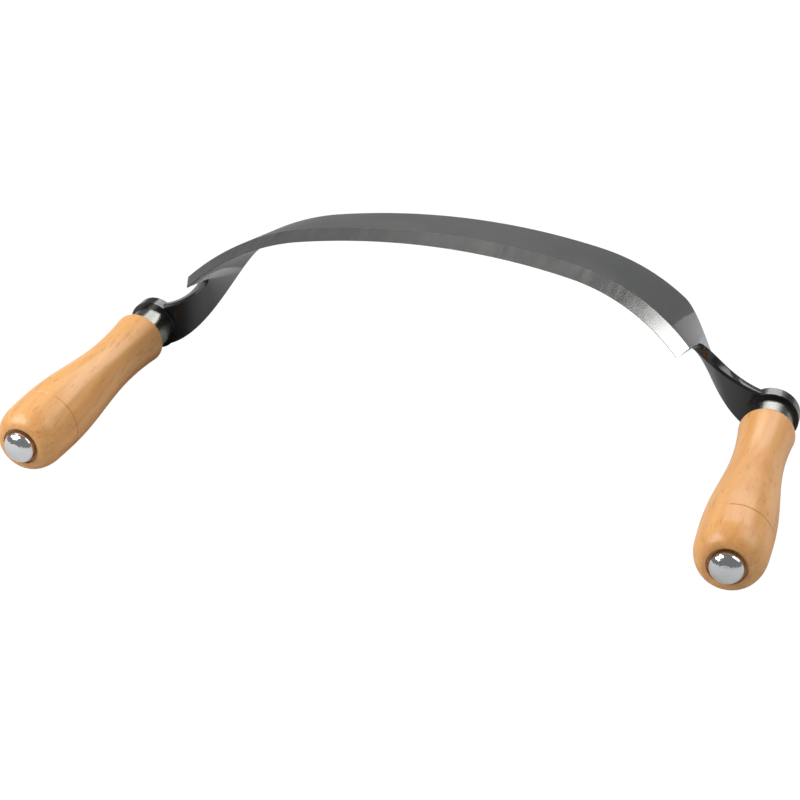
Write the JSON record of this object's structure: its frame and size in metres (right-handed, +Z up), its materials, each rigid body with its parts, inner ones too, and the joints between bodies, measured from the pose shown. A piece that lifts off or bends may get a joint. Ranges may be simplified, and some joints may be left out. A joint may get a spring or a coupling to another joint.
{
  "type": "curved drawknife",
  "caption": "Curved drawknife with an arched, bevelled steel blade, twisted necks ending in bolted eyes, and splayed turned beech handles with domed butt nuts.",
  "frame": {"origin": "bottom centre of the bounding box, on the bench that the tool rests on", "axes": "+X from the left handle to the right one, +Y from the user towards the blade, +Z up"},
  "size_m": [0.406, 0.1875, 0.0981],
  "materials": {
    "blade_steel": "ground and satin polished, with glossy black lacquer on the necks and eyes",
    "beech": "clear satin lacquer",
    "ferrule_steel": "turned and lightly polished",
    "plated_steel": "bright plating",
    "zinc_steel": "dull zinc plating"
  },
  "bodies": {
    "root": {"blade": "blade_steel", "handle_left": "beech", "handle_right": "beech", "ferrule_left": "ferrule_steel", "ferrule_right": "ferrule_steel", "tang_bolt_left": "zinc_steel", "tang_bolt_right": "zinc_steel", "bolt_washer_left": "zinc_steel", "bolt_washer_right": "zinc_steel", "butt_washer_left": "zinc_steel", "butt_washer_right": "zinc_steel", "dome_nut_left": "plated_steel", "dome_nut_right": "plated_steel"}
  },
  "joints": []
}
